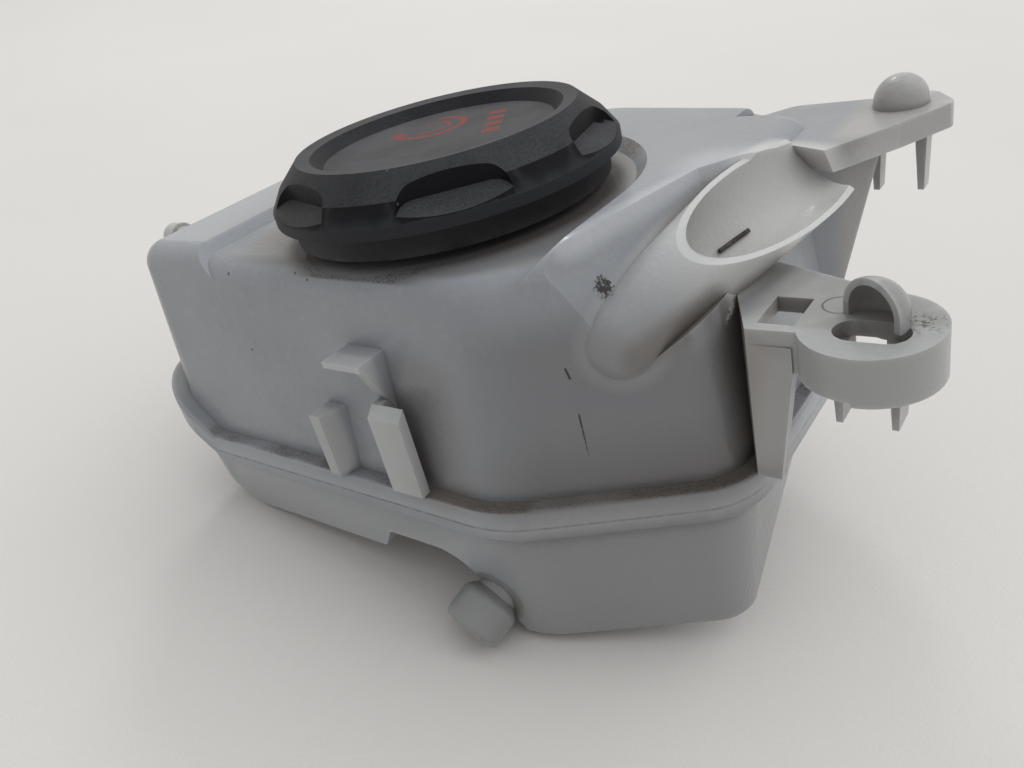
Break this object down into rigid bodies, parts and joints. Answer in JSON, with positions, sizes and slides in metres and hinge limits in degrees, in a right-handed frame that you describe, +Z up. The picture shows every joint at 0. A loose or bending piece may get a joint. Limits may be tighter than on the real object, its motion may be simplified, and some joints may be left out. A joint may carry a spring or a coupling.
{
  "type": "coolant expansion tank",
  "caption": "Moulded coolant expansion tank with welded half shells, bracket ears, hose spigot, vent nipple and a black screw cap with a pressure valve and a vacuum valve.",
  "frame": {"origin": "centre of the bounding box in plan, at the height of the sump's bottom", "axes": "+Z up as the tank is fitted, +X towards the bracket ears, -Y the front with the cable clip"},
  "size_m": [0.1947, 0.1222, 0.1059],
  "materials": {
    "milky_plastic": "milky, satin, lightly soiled",
    "black_plastic": "fine matt grain",
    "core_plastic": "plain moulded",
    "seal_rubber": "smooth",
    "valve_plastic": "plain moulded",
    "spring_steel": "drawn wire"
  },
  "bodies": {
    "tank": {"upper_tank_shell": "milky_plastic", "lower_tank_shell": "milky_plastic"},
    "cap_valve": {"valve_housing_cup": "valve_plastic", "cap_plug_o_ring": "seal_rubber", "spring_retainer": "valve_plastic", "pressure_valve_spring": "spring_steel"},
    "cap": {"cap_grip_cover": "black_plastic", "cap_screw_core": "core_plastic", "cap_rim_seal": "seal_rubber"},
    "pressure_valve": {"pressure_valve_plate": "valve_plastic", "pressure_valve_seal": "seal_rubber", "vacuum_valve_spring": "spring_steel"},
    "vacuum_valve": {"vacuum_valve_stem": "core_plastic"}
  },
  "joints": [
    {"name": "cap_lift", "type": "slide", "parent": "tank", "child": "cap_valve", "axis": [0, 0, 1], "range_m": [0, 0.012]},
    {"name": "cap_turn", "type": "hinge", "parent": "cap_valve", "child": "cap", "pos_m": [-0.00435, -0.01195, 0.0987], "axis": [0, 0, 1], "range_deg": [0, 1080]},
    {"name": "pressure_valve_lift", "type": "slide", "parent": "cap_valve", "child": "pressure_valve", "axis": [0, 0, 1], "range_m": [0, 0.003], "stiffness_N_per_m": 4000, "springref_m": -0.005, "deforming": ["pressure_valve_spring"]},
    {"name": "vacuum_valve_drop", "type": "slide", "parent": "pressure_valve", "child": "vacuum_valve", "axis": [0, 0, 1], "range_m": [-0.002, 0], "stiffness_N_per_m": 100, "springref_m": 0.002, "deforming": ["vacuum_valve_spring"]}
  ],
  "couplings": [
    {"joint": "cap_lift", "follows": "cap_turn", "m_per_rad": 0.00063662}
  ]
}
